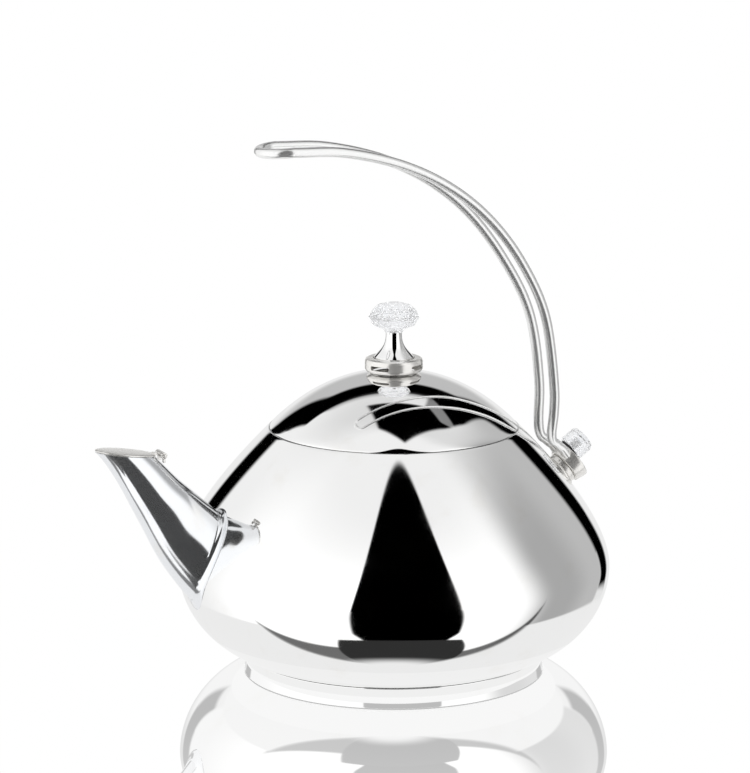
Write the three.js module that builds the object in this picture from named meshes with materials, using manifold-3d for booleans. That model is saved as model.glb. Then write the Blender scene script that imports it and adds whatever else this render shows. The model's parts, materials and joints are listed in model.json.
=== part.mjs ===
// Low-bellied silver teapot with a short open spout, a hinged spout cover, a lift-off lid
// with a crystal knob, and a hairpin handle held in a bracket on the back shoulder.
// Millimetres, +Z up. The origin is on the pot's axis at the underside of the foot.
// The spout points along -X and the handle bracket stands on the +X side.

import * as THREE from 'three';
import { mergeVertices } from 'three/addons/utils/BufferGeometryUtils.js';
import Module from 'manifold-3d';

const wasm = await Module();
wasm.setup();

// ---------- driving dimensions ----------
const GAP = 0.3; // clearance between touching pieces
const TURN = 40; // segments round a large turned piece
const SMALL_TURN = 20; // segments round a small turned piece

// pot body, turned about Z
const BELLY_RADIUS = 107.8;
const BELLY_HEIGHT = 48;
const FOOT_RADIUS = 75.5;
const FOOT_HEIGHT = 5;
const RIM_RADIUS = 61.6; // outer edge of the lid
const RIM_HEIGHT = 118.7;
const RIM_PULL = 22; // length of the body's 45 degree tangent arm at the rim, per axis
const RIM_RISE = 12; // the same for the lid's arm
const DOME_HEIGHT = 146.2;
const DOME_ARM = 30; // length of the level tangent arm at the top of the lid
const SHELL = 1.2; // body wall
const LID_SHELL = 1.0; // lid wall
const LID_CLEARANCE = 0.8; // ring gap between lid and body

// lid furniture
const KNOB_POST_RADIUS = 1.6;
const CUP_RADIUS = 14.4;
const CUP_BASE = 145.7;
const CUP_TOP = 153;
const SLOT_BASE = 148.1;
const SLOT_TOP = 150.3;
const SLOT_WIDTH = 10.3;
const SLOT_COUNT = 4;
const SLOT_ANGLE = THREE.MathUtils.degToRad(35);
const VENT_RADIUS = 1.6;
const VENT_CIRCLE = 7.6;
const CRYSTAL_SIDES = 12;

// handle
const ROD_RADIUS = 2.5;
const ROD_HOLE_RADIUS = 2.8;
const GRIP_HALF_SPACING = 12.2; // half the distance between the strands at the loop
const RISE_HALF_SPACING = 8.6; // the same where they rise behind the lid
const FOOT_HALF_SPACING = 5.6; // and where they enter the collar
const LOOP_CENTRE = [-58, 259.8];
const LOOP_DIP = 0.8; // how far the loop's tip hangs below the strands

// handle bracket, measured along its own axis from the body surface
const BRACKET_PLACE = 0.545; // where its axis leaves the shoulder curve
const BRACKET_TILT = THREE.MathUtils.degToRad(36.5); // of its axis above the horizontal
const COLLAR_FOOT_RADIUS = 9.4;
const COLLAR_RADIUS = 10.4;
const COLLAR_BASE = 5.2;
const COLLAR_TOP = 11.6;
const STUD_RADIUS = 2;
const BUTTON_RADIUS = 7;
const BUTTON_LENGTH = 9.8;
const BUTTON_SHIFT = 5; // the crystal stands this far up the slope from the collar's middle

// spout: fore and aft outlines in the XZ plane, from inside the body to the mouth
const SPOUT_WALL = 1.1;
const SPOUT_FORE = [[-98, 30], [-132, 60], [-137, 97.5], [-156.6, 119.0]];
const SPOUT_AFT = [[-78, 70], [-94, 84], [-111, 98], [-126.5, 114.6]];
const SPOUT_ROOT_HALF_WIDTH = 17;
const SPOUT_MOUTH_HALF_WIDTH = 8.6;
const SPOUT_SIDES = 24;
const SPOUT_STEPS = 10;

// spout cover and its hinge
const COVER_THICKNESS = 1.0;
const HINGE = new THREE.Vector3(-123.1, 0, 115.0);
const BARREL_RADIUS = 1.6;
const PIN_RADIUS = 0.7;
const PIN_HOLE_RADIUS = 1.0;

// ---------- materials ----------
const silver = new THREE.MeshStandardMaterial({ color: 0xe4e4e2, metalness: 1, roughness: 0.06 });
const fixings = new THREE.MeshStandardMaterial({ color: 0xb4b2ac, metalness: 1, roughness: 0.3 });
const crystal = new THREE.MeshStandardMaterial({
  color: 0xf4f6f8, metalness: 0, roughness: 0.04, transparent: true, opacity: 0.4,
});
const gasket = new THREE.MeshStandardMaterial({ color: 0x2b2b2d, metalness: 0, roughness: 0.6 });

// ---------- helpers ----------
const pot = new THREE.Group();

function addPart(name, geometry, material) {
  const mesh = new THREE.Mesh(geometry, material);
  mesh.name = name;
  pot.add(mesh);
  return mesh;
}

function weld(geometry) {
  const bare = geometry.clone();
  bare.deleteAttribute('normal');
  bare.deleteAttribute('uv');
  return mergeVertices(bare, 1e-4);
}

function toSolid(geometry) {
  const welded = weld(geometry);
  return new wasm.Manifold(new wasm.Mesh({
    numProp: 3,
    vertProperties: Float32Array.from(welded.attributes.position.array),
    triVerts: Uint32Array.from(welded.index.array),
  }));
}

function toGeometry(solid) {
  const mesh = solid.getMesh();
  const geometry = new THREE.BufferGeometry();
  geometry.setAttribute('position', new THREE.BufferAttribute(new Float32Array(mesh.vertProperties), 3));
  geometry.setIndex([...mesh.triVerts]);
  geometry.computeVertexNormals();
  return geometry;
}

// A solid turned about Z from a closed outline of [radius, height] points, listed anticlockwise.
function turned(outline, segments = TURN) {
  const points = outline.map(([radius, height]) => new THREE.Vector2(Math.max(radius, 0), height));
  if (outline[0][0] > 0 || outline[outline.length - 1][0] > 0) {
    points.push(points[0].clone());
  }
  return new THREE.LatheGeometry(points, segments).rotateX(Math.PI / 2);
}

// A closed solid through equal rings of points; the first and last rings are closed by fans.
function ringSolid(rings) {
  const count = rings[0].length;
  const positions = rings.flat().flatMap((point) => [point.x, point.y, point.z]);
  const faces = [];
  for (let band = 0; band < rings.length - 1; band += 1) {
    const lower = band * count;
    const upper = lower + count;
    for (let i = 0; i < count; i += 1) {
      const next = (i + 1) % count;
      faces.push(lower + i, lower + next, upper + next, lower + i, upper + next, upper + i);
    }
  }
  const last = (rings.length - 1) * count;
  for (let i = 1; i < count - 1; i += 1) {
    faces.push(0, i + 1, i, last, last + i, last + i + 1);
  }
  const geometry = new THREE.BufferGeometry();
  geometry.setAttribute('position', new THREE.Float32BufferAttribute(positions, 3));
  geometry.setIndex(faces);
  geometry.computeVertexNormals();
  return geometry;
}

function samples(curve, count, until = 1) {
  return Array.from({ length: count + 1 }, (_, i) => curve.getPoint((until * i) / count));
}

// Points of a 2-D curve moved sideways; a positive distance goes to the left of the direction of travel.
function offset(curve, count, distance, until = 1) {
  return Array.from({ length: count + 1 }, (_, i) => {
    const t = (until * i) / count;
    const tangent = curve.getTangent(t);
    const point = curve.getPoint(t);
    return new THREE.Vector2(point.x - tangent.y * distance, point.y + tangent.x * distance);
  });
}

const asPairs = (points) => points.map((point) => [point.x, point.y]);

function bezier(a, b, c, d) {
  return new THREE.CubicBezierCurve(
    new THREE.Vector2(...a), new THREE.Vector2(...b), new THREE.Vector2(...c), new THREE.Vector2(...d));
}

// ---------- turned outlines of the pot ----------
const underCurve = bezier(
  [FOOT_RADIUS, FOOT_HEIGHT], [101, 15], [BELLY_RADIUS, BELLY_HEIGHT - 12], [BELLY_RADIUS, BELLY_HEIGHT]);
const shoulderCurve = bezier(
  [BELLY_RADIUS, BELLY_HEIGHT], [BELLY_RADIUS, BELLY_HEIGHT + 19],
  [RIM_RADIUS + RIM_PULL, RIM_HEIGHT - RIM_PULL], [RIM_RADIUS, RIM_HEIGHT]);
const domeCurve = bezier(
  [RIM_RADIUS, RIM_HEIGHT], [RIM_RADIUS - RIM_RISE, RIM_HEIGHT + RIM_RISE],
  [DOME_ARM, DOME_HEIGHT], [0, DOME_HEIGHT]);

const UNDER_STEPS = 7;
const SHOULDER_STEPS = 9;
const DOME_STEPS = 8;
const SHOULDER_END = 1 - LID_CLEARANCE / (3 * RIM_PULL); // leaves the ring gap for the lid

// Outer skin of the pot from the foot to the mouth, moved outwards by a distance.
function potSkin(distance) {
  return [
    ...offset(underCurve, UNDER_STEPS, -distance),
    ...offset(shoulderCurve, SHOULDER_STEPS, -distance, SHOULDER_END).slice(1),
  ];
}

// The whole pot as one filled solid, grown by a distance, for trimming what stands on it.
function filledPot(distance) {
  const skin = asPairs(potSkin(distance));
  return toSolid(turned([[0, FOOT_HEIGHT], ...skin, [0, skin[skin.length - 1][1]]]));
}

// ---------- spout outlines ----------
const foreCurve = bezier(...SPOUT_FORE);
const aftCurve = bezier(...SPOUT_AFT);

// Oval section of the spout at t, with its wall moved inwards by a distance.
function spoutSection(t, inset) {
  const fore = foreCurve.getPoint(t);
  const aft = aftCurve.getPoint(t);
  const middle = fore.clone().add(aft).multiplyScalar(0.5);
  const along = aft.clone().sub(fore);
  const halfDepth = along.length() / 2 - inset * 1.15; // the section is cut aslant, so its wall looks thicker
  along.normalize();
  const halfWidth = THREE.MathUtils.lerp(SPOUT_ROOT_HALF_WIDTH, SPOUT_MOUTH_HALF_WIDTH, t ** 0.9) - inset;
  return Array.from({ length: SPOUT_SIDES }, (_, i) => {
    const angle = (2 * Math.PI * i) / SPOUT_SIDES;
    const reach = halfDepth * Math.cos(angle);
    return new THREE.Vector3(
      middle.x + along.x * reach, halfWidth * Math.sin(angle), middle.y + along.y * reach);
  });
}

function spoutLoft(inset, from = 0, to = 1) {
  return Array.from({ length: SPOUT_STEPS + 1 }, (_, i) =>
    spoutSection(THREE.MathUtils.lerp(from, to, i / SPOUT_STEPS), inset));
}

// ---------- bracket frame ----------
const bracketPoint = shoulderCurve.getPoint(BRACKET_PLACE);
const bracketMatrix = new THREE.Matrix4()
  .makeTranslation(bracketPoint.x, 0, bracketPoint.y)
  .multiply(new THREE.Matrix4().makeRotationY(Math.PI / 2 - BRACKET_TILT));

// A turned piece square to the body surface at the bracket; heights are distances out from that surface.
// It is centred on the collar, or a given distance up the slope from it.
function onBracket(outline, segments = SMALL_TURN, upSlope = 0) {
  return turned(outline, segments).translate(-upSlope, 0, 0).applyMatrix4(bracketMatrix);
}

const disc = (radius, base, top) => [[0, base], [radius, base], [radius, top], [0, top]];
const ring = (inner, outer, base, top) => [[inner, base], [outer, base], [outer, top], [inner, top]];

// ---------- pot body ----------
const spoutBore = toSolid(ringSolid(spoutLoft(SPOUT_WALL)));
const studHole = toSolid(onBracket(disc(STUD_RADIUS + 0.4, -8, 4), 16, BUTTON_SHIFT));
const FLANGE_RADIUS = 70; // inner edge of the turned-in flange under the body
const wallOutline = [
  [FLANGE_RADIUS, FOOT_HEIGHT],
  ...asPairs(potSkin(0)),
  ...asPairs(potSkin(-SHELL).slice(1)).reverse(),
  [FLANGE_RADIUS, FOOT_HEIGHT + SHELL],
];
addPart('body_shell', toGeometry(
  toSolid(turned(wallOutline)).subtract(spoutBore).subtract(studHole)), silver);

const FOOT_TOP = FOOT_HEIGHT - GAP;
addPart('foot_ring', turned([
  [FOOT_RADIUS - 3, 0], [FOOT_RADIUS - 1.3, 0], [FOOT_RADIUS - 0.2, FOOT_TOP], [FOOT_RADIUS - 2.8, FOOT_TOP],
]), silver);

const PLATE_RADIUS = FOOT_RADIUS - 3.3;
addPart('base_plate', turned([
  [0, 2.6], [PLATE_RADIUS - 8, 2.6], [PLATE_RADIUS - 6, 1.6], [PLATE_RADIUS, 1.6],
  [PLATE_RADIUS, FOOT_TOP], [0, FOOT_TOP],
]), silver);

const SEAT_HEIGHT = 116.9;
const SEAT_OUTER = 61.1;
const SEAT_WALL_OUTER = 57.6;
const SEAT_INNER = 56.4;
addPart('mouth_ring', turned([
  [SEAT_INNER, SEAT_HEIGHT], [SEAT_INNER, 108], [SEAT_WALL_OUTER, 108], [SEAT_WALL_OUTER, SEAT_HEIGHT - 1.4],
  [SEAT_OUTER + 1.3, SEAT_HEIGHT - 1.4], [SEAT_OUTER, SEAT_HEIGHT],
]), silver);

// ---------- spout ----------
const spoutOuter = toSolid(ringSolid(spoutLoft(0, 0.05)));
const mouthLift = toSolid(ringSolid([0.97, 1.05].map((t) => spoutSection(t, SPOUT_WALL))));
addPart('spout_shell', toGeometry(
  spoutOuter.subtract(spoutBore).subtract(mouthLift).subtract(filledPot(GAP))), silver);

const JOINT_WIDTH = 1.9;
const JOINT_HEIGHT = 1.2;
const spoutGrown = (distance) => toSolid(ringSolid(spoutLoft(-distance, 0, 0.7)));
addPart('spout_joint_ring', toGeometry(
  spoutGrown(JOINT_WIDTH).subtract(spoutGrown(GAP))
    .intersect(filledPot(GAP + JOINT_HEIGHT)).subtract(filledPot(GAP))), silver);

// ---------- spout cover and hinge ----------
const mouthFore = foreCurve.getPoint(1);
const mouthAft = aftCurve.getPoint(1);
const mouthSlope = Math.atan2(mouthFore.y - mouthAft.y, mouthAft.x - mouthFore.x);
const mouthMiddle = mouthFore.clone().add(mouthAft).multiplyScalar(0.5);
const mouthHalfLength = mouthFore.distanceTo(mouthAft) / 2;

// The oval cover lies on the mouth's own slanted plane.
const coverPlate = new THREE.CylinderGeometry(1, 1, COVER_THICKNESS, 32)
  .rotateX(Math.PI / 2)
  .scale(mouthHalfLength + 0.1, SPOUT_MOUTH_HALF_WIDTH + 0.4, 1)
  .translate(0, 0, GAP + COVER_THICKNESS / 2)
  .rotateY(mouthSlope)
  .translate(mouthMiddle.x, 0, mouthMiddle.y);
const barrel = (radius, length, along = 0) => new THREE.CylinderGeometry(radius, radius, length, 12)
  .translate(HINGE.x, along, HINGE.z);
const coverTab = new THREE.BoxGeometry(6, 3.4, COVER_THICKNESS)
  .translate(mouthHalfLength - 0.6, 0, GAP + COVER_THICKNESS / 2)
  .rotateY(mouthSlope)
  .translate(mouthMiddle.x, 0, mouthMiddle.y);
addPart('spout_cover', toGeometry(
  toSolid(coverPlate).add(toSolid(coverTab)).add(toSolid(barrel(BARREL_RADIUS, 3.6)))
    .subtract(toSolid(barrel(PIN_HOLE_RADIUS, 12)))
    .subtract(toSolid(barrel(BARREL_RADIUS + GAP, 4, 4.1)))
    .subtract(toSolid(barrel(BARREL_RADIUS + GAP, 4, -4.1)))), silver);

// A lug is a short barrel with a leg that stands on the back of the spout.
const LUG_WIDTH = 2.4;
const LUG_OFFSET = 3.4;
const spoutKeepOut = toSolid(ringSolid(spoutLoft(-GAP, 0.6, 1)));
for (const [name, side] of [['hinge_lug_left', -1], ['hinge_lug_right', 1]]) {
  const leg = new THREE.BoxGeometry(2.2, LUG_WIDTH, 7)
    .translate(HINGE.x, side * LUG_OFFSET, HINGE.z - 3.5);
  addPart(name, toGeometry(
    toSolid(leg).add(toSolid(barrel(BARREL_RADIUS, LUG_WIDTH, side * LUG_OFFSET)))
      .subtract(toSolid(barrel(PIN_HOLE_RADIUS, 12))).subtract(spoutKeepOut)), silver);
}
addPart('hinge_pin', barrel(PIN_RADIUS, 10.4), silver);

// ---------- handle ----------
// Point in the XZ plane, from a distance up the slope and a height out from the body at the bracket.
const outwards = new THREE.Vector2(Math.cos(BRACKET_TILT), Math.sin(BRACKET_TILT));
const upwards = new THREE.Vector2(-Math.sin(BRACKET_TILT), Math.cos(BRACKET_TILT));
const byBracket = (upSlope, height) => bracketPoint.clone()
  .addScaledVector(upwards, upSlope).addScaledVector(outwards, height);
const ROD_SEAT = (COLLAR_BASE + COLLAR_TOP) / 2;

// Side view of one strand: out of the collar, round the bend, up and forward over the lid.
const strandPoints = [
  byBracket(4, ROD_SEAT), byBracket(8, ROD_SEAT), byBracket(11, ROD_SEAT), byBracket(15, 7.4),
  ...[[84.0, 107.6], [84.5, 132.2], [78.8, 168.5], [64.7, 196.9], [46.3, 220.4], [24.4, 238.0],
    [-1.6, 250.6], [-31.4, 258.2], LOOP_CENTRE].map(([x, z]) => new THREE.Vector2(x, z)),
];
const strandSide = new THREE.SplineCurve(strandPoints);

const STRAND_STEPS = 36;
const LOOP_STEPS = 10;

function handlePath() {
  const strand = [];
  for (let i = 0; i <= STRAND_STEPS; i += 1) {
    const u = i / STRAND_STEPS;
    const point = strandSide.getPointAt(u);
    const half = FOOT_HALF_SPACING
      + (RISE_HALF_SPACING - FOOT_HALF_SPACING) * THREE.MathUtils.smoothstep(u, 0.02, 0.12)
      + (GRIP_HALF_SPACING - RISE_HALF_SPACING) * THREE.MathUtils.smoothstep(u, 0.22, 0.5);
    strand.push(new THREE.Vector3(point.x, -half, point.y));
  }
  const loop = [];
  for (let i = 1; i < LOOP_STEPS; i += 1) {
    const angle = (Math.PI * i) / LOOP_STEPS;
    loop.push(new THREE.Vector3(
      LOOP_CENTRE[0] - GRIP_HALF_SPACING * Math.sin(angle),
      -GRIP_HALF_SPACING * Math.cos(angle),
      LOOP_CENTRE[1] - LOOP_DIP * Math.sin(angle)));
  }
  const back = strand.map((point) => new THREE.Vector3(point.x, -point.y, point.z)).reverse();
  return new THREE.CatmullRomCurve3([...strand, ...loop, ...back]);
}

const rodSection = (radius, sides) => new THREE.Shape(
  Array.from({ length: sides }, (_, i) => new THREE.Vector2(
    radius * Math.cos((2 * Math.PI * i) / sides), radius * Math.sin((2 * Math.PI * i) / sides))));

addPart('handle_rod', weld(new THREE.ExtrudeGeometry(
  rodSection(ROD_RADIUS, 8), { steps: 76, extrudePath: handlePath() })), silver);

// ---------- handle bracket ----------
const rodHoles = [-1, 1].map((side) => {
  const start = byBracket(3.4, ROD_SEAT);
  const end = byBracket(14, ROD_SEAT);
  const along = end.clone().sub(start);
  const hole = new THREE.CylinderGeometry(ROD_HOLE_RADIUS, ROD_HOLE_RADIUS, along.length(), 16);
  hole.rotateX(Math.PI / 2);
  hole.rotateY(Math.atan2(along.x, along.y));
  hole.translate((start.x + end.x) / 2, side * FOOT_HALF_SPACING, (start.y + end.y) / 2);
  return toSolid(hole);
});

// A disc centred on the collar, flared towards its top, with the stud's hole up the slope from its middle.
const DISC_LAND = 1; // upright strip below the top edge
const DISC_TURN = 28;
function drilledDisc(footRadius, radius, base, top) {
  const hole = onBracket(disc(STUD_RADIUS + GAP, base - 1, top + 1), 16, BUTTON_SHIFT);
  const outline = [[0, base], [footRadius, base], [radius, top - DISC_LAND], [radius, top], [0, top]];
  return toSolid(onBracket(outline, DISC_TURN)).subtract(toSolid(hole));
}

addPart('handle_collar', toGeometry(rodHoles.reduce(
  (solid, hole) => solid.subtract(hole),
  drilledDisc(COLLAR_FOOT_RADIUS, COLLAR_RADIUS, COLLAR_BASE, COLLAR_TOP))), silver);

addPart('bracket_saddle', toGeometry(drilledDisc(9.6, 9.2, GAP, 2.0)), silver);
addPart('bracket_boss', toGeometry(drilledDisc(8.2, 8.2, 2.3, COLLAR_BASE - GAP)), silver);
addPart('button_gasket', onBracket(
  ring(STUD_RADIUS + GAP, 5.6, COLLAR_TOP + GAP, COLLAR_TOP + 1.3), SMALL_TURN, BUTTON_SHIFT), gasket);

const BUTTON_BASE = COLLAR_TOP + 1.6;
addPart('crystal_button', onBracket([
  [0, BUTTON_BASE + 6.5], [STUD_RADIUS + GAP, BUTTON_BASE + 6], [STUD_RADIUS + GAP, BUTTON_BASE],
  [BUTTON_RADIUS - 0.4, BUTTON_BASE], [BUTTON_RADIUS, BUTTON_BASE + 0.6],
  [BUTTON_RADIUS, BUTTON_BASE + BUTTON_LENGTH - 2.6], [BUTTON_RADIUS - 0.8, BUTTON_BASE + BUTTON_LENGTH - 0.8],
  [BUTTON_RADIUS - 2.8, BUTTON_BASE + BUTTON_LENGTH - 0.1], [0, BUTTON_BASE + BUTTON_LENGTH],
], 16, BUTTON_SHIFT), crystal);
addPart('bracket_stud', onBracket(disc(STUD_RADIUS, -8.8, BUTTON_BASE + 5.6), 16, BUTTON_SHIFT), fixings);
addPart('bracket_washer', onBracket(
  ring(STUD_RADIUS + GAP, 5.6, -3.6, -2.4), SMALL_TURN, BUTTON_SHIFT), fixings);
addPart('bracket_nut', onBracket(ring(STUD_RADIUS + GAP, 4.4, -7.2, -3.9), 6, BUTTON_SHIFT), fixings);

// ---------- lid ----------
const LID_INSIDE_TOP = DOME_HEIGHT - LID_SHELL;
const LID_INSIDE_END = 0.965; // the inner skin stops short of the axis, where it is level
const lidInside = offset(domeCurve, DOME_STEPS, LID_SHELL, LID_INSIDE_END);
const LID_EDGE = SEAT_HEIGHT + GAP;
const lidOutline = [
  [RIM_RADIUS, LID_EDGE],
  ...asPairs(samples(domeCurve, DOME_STEPS)),
  [0, LID_INSIDE_TOP],
  ...asPairs(lidInside.filter((point) => point.x > 1 && point.y > LID_EDGE + 0.4)).reverse(),
  [RIM_RADIUS - 1.3, LID_EDGE],
];
const DRILL_SPAN = [140, 150]; // heights between which the lid is drilled
const lidHoles = [toSolid(turned(disc(KNOB_POST_RADIUS + 0.5, ...DRILL_SPAN), SMALL_TURN))];
for (let i = 0; i < SLOT_COUNT; i += 1) {
  const angle = SLOT_ANGLE + (i * 2 * Math.PI) / SLOT_COUNT;
  lidHoles.push(toSolid(turned(disc(VENT_RADIUS, ...DRILL_SPAN), 12)
    .translate(VENT_CIRCLE * Math.cos(angle), VENT_CIRCLE * Math.sin(angle), 0)));
}
addPart('lid_shell', toGeometry(lidHoles.reduce(
  (solid, hole) => solid.subtract(hole), toSolid(turned(lidOutline)))), silver);

const SKIRT_OUTER = SEAT_INNER - 0.4;
const SKIRT_INNER = SKIRT_OUTER - 1.1;
addPart('lid_skirt', turned(
  [[SKIRT_INNER, 109.5], [SKIRT_OUTER, 109.5], [SKIRT_OUTER, 121.6], [SKIRT_INNER, 122.4]]), silver);

// ---------- knob ----------
const CUP_WALL = 1.2;
const cupOutline = [
  [10.8, CUP_BASE], [12.0, CUP_BASE], [13.8, CUP_BASE + 0.9], [CUP_RADIUS, CUP_BASE + 1.8],
  [CUP_RADIUS, CUP_TOP - 1.6], [CUP_RADIUS - 0.5, CUP_TOP - 0.5], [CUP_RADIUS - 1.6, CUP_TOP],
  [10.2, CUP_TOP], [10.2, CUP_TOP - 1.5],
  [KNOB_POST_RADIUS + GAP, CUP_TOP - 1.5], [KNOB_POST_RADIUS + GAP, CUP_TOP - 2.3],
  [CUP_RADIUS - CUP_WALL, CUP_TOP - 2.3], [CUP_RADIUS - CUP_WALL, CUP_BASE + 2.2], [12.7, CUP_BASE + 1.5],
];
let cup = toSolid(turned(cupOutline, 32));
for (let i = 0; i < SLOT_COUNT; i += 1) {
  const slot = new THREE.BoxGeometry(5, SLOT_WIDTH, SLOT_TOP - SLOT_BASE)
    .translate(CUP_RADIUS, 0, (SLOT_BASE + SLOT_TOP) / 2)
    .rotateZ(SLOT_ANGLE + (i * 2 * Math.PI) / SLOT_COUNT);
  cup = cup.subtract(toSolid(slot));
}
addPart('knob_cup', toGeometry(cup), silver);

// Bell-shaped silver neck that stands in the cup and carries the crystal.
const BORE_RADIUS = KNOB_POST_RADIUS + GAP;
const NECK_BASE = CUP_TOP - 1.2;
const NECK_TOP = 165.8;
addPart('knob_neck', turned([
  [BORE_RADIUS, NECK_BASE], [9.8, NECK_BASE], [9.8, CUP_TOP + 0.4], [8.5, CUP_TOP + 2.6], [7.1, 156.9],
  [5.6, 159.3], [4.5, 161.9], [4.0, 164.3], [4.1, NECK_TOP], [BORE_RADIUS, NECK_TOP],
], 32), silver);

// Ring of the cut crystal; odd rings are turned half a facet so that the faces between are triangles.
const facetRing = (radius, height, twist) => Array.from({ length: CRYSTAL_SIDES }, (_, i) => {
  const angle = (2 * Math.PI * (i + twist / 2)) / CRYSTAL_SIDES;
  return new THREE.Vector3(radius * Math.cos(angle), radius * Math.sin(angle), height);
});
const CRYSTAL_BASE = NECK_TOP + GAP;
const crystalRings = [
  [BORE_RADIUS, 167.6, 0], [BORE_RADIUS, CRYSTAL_BASE, 0], [4.7, CRYSTAL_BASE, 0], [4.7, 166.8, 0],
  [10.7, 169.6, 1], [12.6, 173.1, 0], [10.9, 176.8, 1], [8.2, 179.2, 0], [4.4, 180.2, 1],
].map(([radius, height, twist]) => facetRing(radius, height, twist));
addPart('knob_crystal', ringSolid(crystalRings), crystal);

// The post runs from the crystal down through the cup and the lid to a washer and nut.
const WASHER_TOP = LID_INSIDE_TOP - GAP;
const WASHER_BASE = WASHER_TOP - 1.1;
const NUT_TOP = WASHER_BASE - GAP;
const NUT_BASE = NUT_TOP - 3.1;
addPart('knob_post', turned(disc(KNOB_POST_RADIUS, NUT_BASE - 1.2, 167.2), 16), fixings);
addPart('knob_washer', turned(ring(BORE_RADIUS, 5.4, WASHER_BASE, WASHER_TOP), SMALL_TURN), fixings);
addPart('knob_nut', turned(ring(BORE_RADIUS, 4.0, NUT_BASE, NUT_TOP), 6), fixings);

export default pot;
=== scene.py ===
"""Looks of the silver teapot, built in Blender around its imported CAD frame.

Outlines and places are in millimetres and become metres as each mesh is made. Every smooth piece
stands for the CAD node that it is named after, and the driving sizes come mostly from the nodes' boxes.
"""
import json
import math

import bmesh
import bpy
from mathutils import Matrix, Vector


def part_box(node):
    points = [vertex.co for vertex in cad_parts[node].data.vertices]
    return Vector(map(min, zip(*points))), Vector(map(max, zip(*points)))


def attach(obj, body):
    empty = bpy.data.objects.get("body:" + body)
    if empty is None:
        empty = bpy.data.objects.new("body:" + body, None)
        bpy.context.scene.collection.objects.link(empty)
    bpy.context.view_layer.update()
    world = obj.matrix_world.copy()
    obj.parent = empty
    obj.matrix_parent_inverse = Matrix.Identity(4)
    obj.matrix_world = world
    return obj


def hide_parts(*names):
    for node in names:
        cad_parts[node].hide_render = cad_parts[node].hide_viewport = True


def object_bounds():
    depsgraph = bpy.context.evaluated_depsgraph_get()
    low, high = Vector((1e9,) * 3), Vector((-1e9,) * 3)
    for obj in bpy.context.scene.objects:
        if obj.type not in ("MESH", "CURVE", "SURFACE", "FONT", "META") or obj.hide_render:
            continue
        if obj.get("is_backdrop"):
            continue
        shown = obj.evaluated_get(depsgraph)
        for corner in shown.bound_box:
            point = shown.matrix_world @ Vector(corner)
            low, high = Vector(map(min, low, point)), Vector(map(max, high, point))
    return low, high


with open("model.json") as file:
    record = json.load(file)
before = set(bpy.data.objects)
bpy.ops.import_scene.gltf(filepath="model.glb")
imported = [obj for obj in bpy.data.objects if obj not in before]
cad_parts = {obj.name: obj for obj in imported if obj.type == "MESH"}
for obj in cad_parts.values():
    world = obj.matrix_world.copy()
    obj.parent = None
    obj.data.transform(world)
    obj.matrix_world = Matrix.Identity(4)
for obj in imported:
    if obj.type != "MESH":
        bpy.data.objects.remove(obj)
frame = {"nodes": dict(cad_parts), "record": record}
cad_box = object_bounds()

MM = 0.001
BODY_OF = {node: body for body, nodes in frame["record"]["behaviour"]["bodies"].items() for node in nodes}


def low(node):
    """Lowest corner of a CAD node's box, in millimetres."""
    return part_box(node)[0] / MM


def high(node):
    """Highest corner of a CAD node's box, in millimetres."""
    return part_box(node)[1] / MM


# ---------- driving sizes, in millimetres ----------
BELLY_RADIUS = high("body_shell").y
BELLY_HEIGHT = 48
FOOT_RADIUS = high("foot_ring").y + 0.2
FOOT_HEIGHT = low("body_shell").z
RIM_RADIUS = high("lid_shell").y
RIM_HEIGHT = 118.7
RIM_PULL = 22
DOME_HEIGHT = high("lid_shell").z
DOME_ARM = 30
RIM_RISE = 12
SHELL = 1.2
BASE_OPENING = FOOT_RADIUS - 5.5
LID_SHELL = 1.0
LID_CLEARANCE = 0.5
CUP_BASE = low("knob_cup").z
CUP_TOP = high("knob_cup").z
CUP_RADIUS = high("knob_cup").y
SLOT_ANGLE = 35
NECK_TOP = high("knob_neck").z
CRYSTAL_TOP = high("knob_crystal").z
SLOT_COUNT = 4
POST_RADIUS = 1.6
POST_HOLE = POST_RADIUS + 0.3
HINGE = (low("hinge_pin") + high("hinge_pin")) / 2
HINGE.y = 0
SPOUT_FORE = [(-98, 30), (-132, 60), (-137, 97.5), (-156.6, 119.0)]
SPOUT_AFT = [(-78, 70), (-94, 84), (-111, 98), (-126.5, 114.6)]
SPOUT_ROOT_HALF_WIDTH = 17
SPOUT_MOUTH_HALF_WIDTH = 8.6
SPOUT_WALL = 1.1
BRACKET_PLACE = 0.545
BRACKET_TILT = math.radians(36.5)
BUTTON_SHIFT = 5
COLLAR_BASE = 5.2
COLLAR_TOP = 11.6
STUD_RADIUS = 2.0
STUD_CLEARANCE = 0.3
ROD_RADIUS = 2.5

# ---------- curves and outlines ----------


def bezier(points, t):
    """Point and unit tangent of a cubic curve in the plane, as two vectors."""
    a, b, c, d = (Vector(point) for point in points)
    s = 1 - t
    place = a * s ** 3 + b * 3 * s * s * t + c * 3 * s * t * t + d * t ** 3
    slope = (b - a) * s * s + (c - b) * 2 * s * t + (d - c) * t * t
    return place, slope.normalized()


def bend(start, corner, end, t):
    """Point at t of the way round an eased corner."""
    return start * (1 - t) ** 2 + corner * 2 * t * (1 - t) + end * t * t


def skin(points, steps, inset=0.0, until=1.0):
    """Points along a curve that runs anticlockwise round the pot's section, moved inwards by inset."""
    outline = []
    for i in range(steps + 1):
        place, tangent = bezier(points, until * i / steps)
        outline.append(place + Vector((-tangent.y, tangent.x)) * inset)
    return outline


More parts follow.
